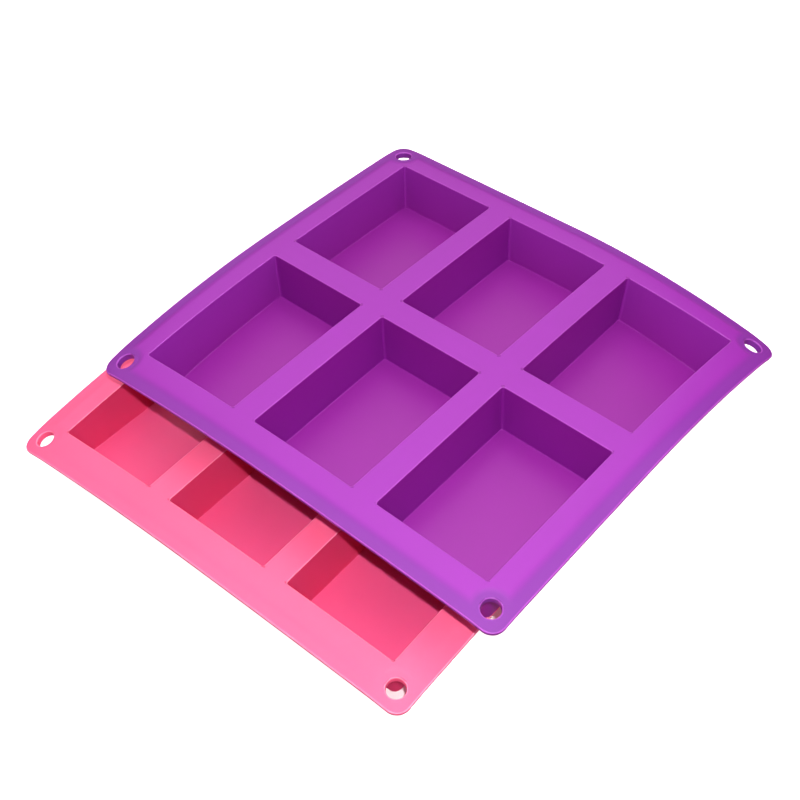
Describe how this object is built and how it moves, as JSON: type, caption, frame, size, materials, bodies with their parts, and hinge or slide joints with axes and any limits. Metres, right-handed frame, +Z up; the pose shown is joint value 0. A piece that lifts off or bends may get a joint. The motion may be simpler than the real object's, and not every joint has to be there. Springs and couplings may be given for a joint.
{
  "type": "soap mould",
  "caption": "Stacked silicone soap moulds, each a soft sheet of rectangular bar cavities with a stepped-down lip and corner hanging holes.",
  "frame": {"origin": "on the bench, under the middle of the pair's footprint", "axes": "+Z up; +X along a mould's row of three cavities; +Y along a cavity's long side, from the near row to the far row"},
  "size_m": [0.2448, 0.244, 0.0549],
  "materials": {
    "pink_silicone": "satin, moulded",
    "purple_silicone": "satin, moulded"
  },
  "bodies": {
    "lower": {"lower_mould": "pink_silicone"},
    "upper": {"upper_mould": "purple_silicone"}
  },
  "joints": [
    {"name": "lift_off", "type": "slide", "parent": "lower", "child": "upper", "axis": [0, 0, 1], "range_m": [0, 0.08]}
  ]
}
